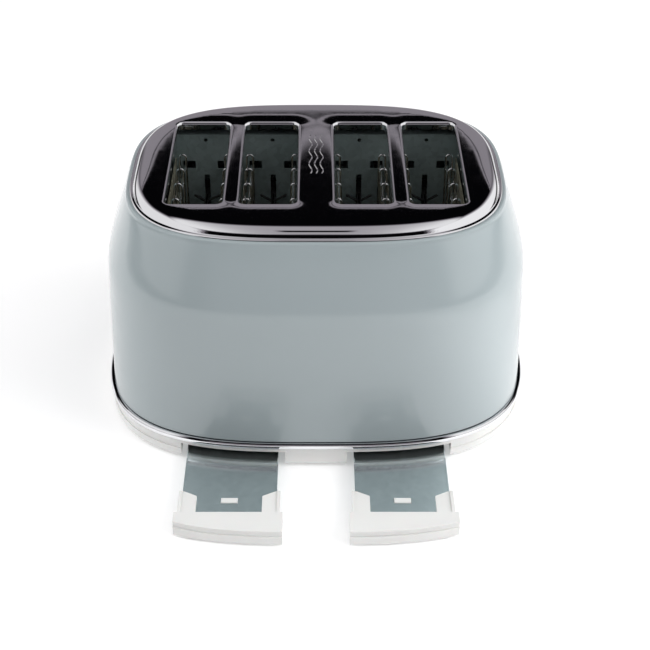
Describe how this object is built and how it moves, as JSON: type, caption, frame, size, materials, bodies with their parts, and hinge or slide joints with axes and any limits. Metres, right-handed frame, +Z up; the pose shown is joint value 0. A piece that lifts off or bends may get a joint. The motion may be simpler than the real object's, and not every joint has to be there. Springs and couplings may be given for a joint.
{
  "type": "pop up toaster",
  "caption": "Pop up toaster with a rounded painted steel body, chrome top plate with bread slots, a carriage and lever for each pair of slots, and pull-out crumb trays.",
  "frame": {"origin": "centre of the footprint, on the worktop", "axes": "+Z up; +Y towards the levers and dials, so the crumb trays pull out towards -Y; +X to the right when looking at the crumb tray side"},
  "size_m": [0.3292, 0.3914, 0.1846],
  "materials": {
    "body_paint": "gloss grey-blue paint on pressed steel",
    "bright_chrome": "mirror polished plating",
    "white_plastic": "moulded, low sheen",
    "black_rubber": "matt",
    "galvanised": "galvanised sheet, fine spangle",
    "mica": "pressed mica board, flecked",
    "ribbon": "flat resistance wire, dull",
    "wire": "plated steel wire",
    "dark_steel": "plain pressed steel",
    "spring_steel": "bright drawn wire",
    "copper": "enamelled copper winding",
    "circuit_board": "green board with black switch bodies",
    "terminal": "moulded block"
  },
  "bodies": {
    "casing": {"body_shell": "body_paint", "top_plate": "bright_chrome", "trim_ring": "bright_chrome", "base_moulding": "white_plastic", "rubber_feet": "black_rubber", "cord_bush": "white_plastic", "base_screws": "spring_steel", "end_plate_front": "galvanised", "end_plate_rear": "galvanised", "heat_shield_left": "galvanised", "heat_shield_right": "galvanised", "centre_partition": "galvanised", "mica_board_1": "mica", "mica_board_2": "mica", "mica_board_3": "mica", "mica_board_4": "mica", "mica_board_5": "mica", "mica_board_6": "mica", "heater_ribbons_left": "ribbon", "heater_ribbons_right": "ribbon", "guide_rods_left": "spring_steel", "guide_rods_right": "spring_steel", "return_spring_left": "spring_steel", "return_spring_right": "spring_steel", "latch_magnet_left": "copper", "latch_magnet_right": "copper", "control_board": "circuit_board", "dial_bezel_left": "bright_chrome", "dial_bezel_right": "bright_chrome", "lever_slot_trims": "bright_chrome", "button_bezels": "bright_chrome", "terminal_block": "terminal"},
    "carriage_left": {"carriage_left": "dark_steel", "bread_rack_1": "dark_steel", "bread_rack_2": "dark_steel", "lever_knob_left": "bright_chrome"},
    "carriage_right": {"carriage_right": "dark_steel", "bread_rack_3": "dark_steel", "bread_rack_4": "dark_steel", "lever_knob_right": "bright_chrome"},
    "guard_1a": {"bread_guard_1a": "wire"},
    "guard_1b": {"bread_guard_1b": "wire"},
    "guard_2a": {"bread_guard_2a": "wire"},
    "guard_2b": {"bread_guard_2b": "wire"},
    "guard_3a": {"bread_guard_3a": "wire"},
    "guard_3b": {"bread_guard_3b": "wire"},
    "guard_4a": {"bread_guard_4a": "wire"},
    "guard_4b": {"bread_guard_4b": "wire"},
    "tray_left": {"crumb_tray_left": "galvanised", "tray_handle_left": "white_plastic"},
    "dial_left": {"dial_left": "bright_chrome"},
    "tray_right": {"crumb_tray_right": "galvanised", "tray_handle_right": "white_plastic"},
    "dial_right": {"dial_right": "bright_chrome"},
    "button_cancel_left": {"button_cancel_left": "bright_chrome"},
    "button_reheat_left": {"button_reheat_left": "bright_chrome"},
    "button_defrost_left": {"button_defrost_left": "bright_chrome"},
    "button_cancel_right": {"button_cancel_right": "bright_chrome"},
    "button_reheat_right": {"button_reheat_right": "bright_chrome"},
    "button_defrost_right": {"button_defrost_right": "bright_chrome"}
  },
  "joints": [
    {"name": "carriage_left_slide", "type": "slide", "parent": "casing", "child": "carriage_left", "axis": [0, 0, 1], "range_m": [-0.058, 0], "stiffness_N_per_m": 150, "springref_m": 0.03, "deforming": ["return_spring_left"]},
    {"name": "carriage_right_slide", "type": "slide", "parent": "casing", "child": "carriage_right", "axis": [0, 0, 1], "range_m": [-0.058, 0], "stiffness_N_per_m": 150, "springref_m": 0.03, "deforming": ["return_spring_right"]},
    {"name": "guard_1a_slide", "type": "slide", "parent": "casing", "child": "guard_1a", "axis": [1, 0, 0], "range_m": [0, 0.0035]},
    {"name": "guard_1b_slide", "type": "slide", "parent": "casing", "child": "guard_1b", "axis": [-1, 0, 0], "range_m": [0, 0.0035]},
    {"name": "guard_2a_slide", "type": "slide", "parent": "casing", "child": "guard_2a", "axis": [1, 0, 0], "range_m": [0, 0.0035]},
    {"name": "guard_2b_slide", "type": "slide", "parent": "casing", "child": "guard_2b", "axis": [-1, 0, 0], "range_m": [0, 0.0035]},
    {"name": "guard_3a_slide", "type": "slide", "parent": "casing", "child": "guard_3a", "axis": [1, 0, 0], "range_m": [0, 0.0035]},
    {"name": "guard_3b_slide", "type": "slide", "parent": "casing", "child": "guard_3b", "axis": [-1, 0, 0], "range_m": [0, 0.0035]},
    {"name": "guard_4a_slide", "type": "slide", "parent": "casing", "child": "guard_4a", "axis": [1, 0, 0], "range_m": [0, 0.0035]},
    {"name": "guard_4b_slide", "type": "slide", "parent": "casing", "child": "guard_4b", "axis": [-1, 0, 0], "range_m": [0, 0.0035]},
    {"name": "tray_left_slide", "type": "slide", "parent": "casing", "child": "tray_left", "axis": [0, 1, 0], "range_m": [-0.05, 0.089]},
    {"name": "dial_left_turn", "type": "hinge", "parent": "casing", "child": "dial_left", "pos_m": [-0.062, 0.15, 0.046], "axis": [0, -1, 0], "range_deg": [-135, 135]},
    {"name": "tray_right_slide", "type": "slide", "parent": "casing", "child": "tray_right", "axis": [0, 1, 0], "range_m": [-0.05, 0.089]},
    {"name": "dial_right_turn", "type": "hinge", "parent": "casing", "child": "dial_right", "pos_m": [0.062, 0.15, 0.046], "axis": [0, -1, 0], "range_deg": [-135, 135]},
    {"name": "button_cancel_left_press", "type": "slide", "parent": "casing", "child": "button_cancel_left", "axis": [0, -1, 0], "range_m": [0, 0.002], "stiffness_N_per_m": 600, "springref_m": -0.001},
    {"name": "button_reheat_left_press", "type": "slide", "parent": "casing", "child": "button_reheat_left", "axis": [0, -1, 0], "range_m": [0, 0.002], "stiffness_N_per_m": 600, "springref_m": -0.001},
    {"name": "button_defrost_left_press", "type": "slide", "parent": "casing", "child": "button_defrost_left", "axis": [0, -1, 0], "range_m": [0, 0.002], "stiffness_N_per_m": 600, "springref_m": -0.001},
    {"name": "button_cancel_right_press", "type": "slide", "parent": "casing", "child": "button_cancel_right", "axis": [0, -1, 0], "range_m": [0, 0.002], "stiffness_N_per_m": 600, "springref_m": -0.001},
    {"name": "button_reheat_right_press", "type": "slide", "parent": "casing", "child": "button_reheat_right", "axis": [0, -1, 0], "range_m": [0, 0.002], "stiffness_N_per_m": 600, "springref_m": -0.001},
    {"name": "button_defrost_right_press", "type": "slide", "parent": "casing", "child": "button_defrost_right", "axis": [0, -1, 0], "range_m": [0, 0.002], "stiffness_N_per_m": 600, "springref_m": -0.001}
  ],
  "couplings": [
    {"joint": "guard_1a_slide", "follows": "carriage_left_slide", "ratio": -0.06},
    {"joint": "guard_1b_slide", "follows": "carriage_left_slide", "ratio": -0.06},
    {"joint": "guard_2a_slide", "follows": "carriage_left_slide", "ratio": -0.06},
    {"joint": "guard_2b_slide", "follows": "carriage_left_slide", "ratio": -0.06},
    {"joint": "guard_3a_slide", "follows": "carriage_right_slide", "ratio": -0.06},
    {"joint": "guard_3b_slide", "follows": "carriage_right_slide", "ratio": -0.06},
    {"joint": "guard_4a_slide", "follows": "carriage_right_slide", "ratio": -0.06},
    {"joint": "guard_4b_slide", "follows": "carriage_right_slide", "ratio": -0.06}
  ]
}
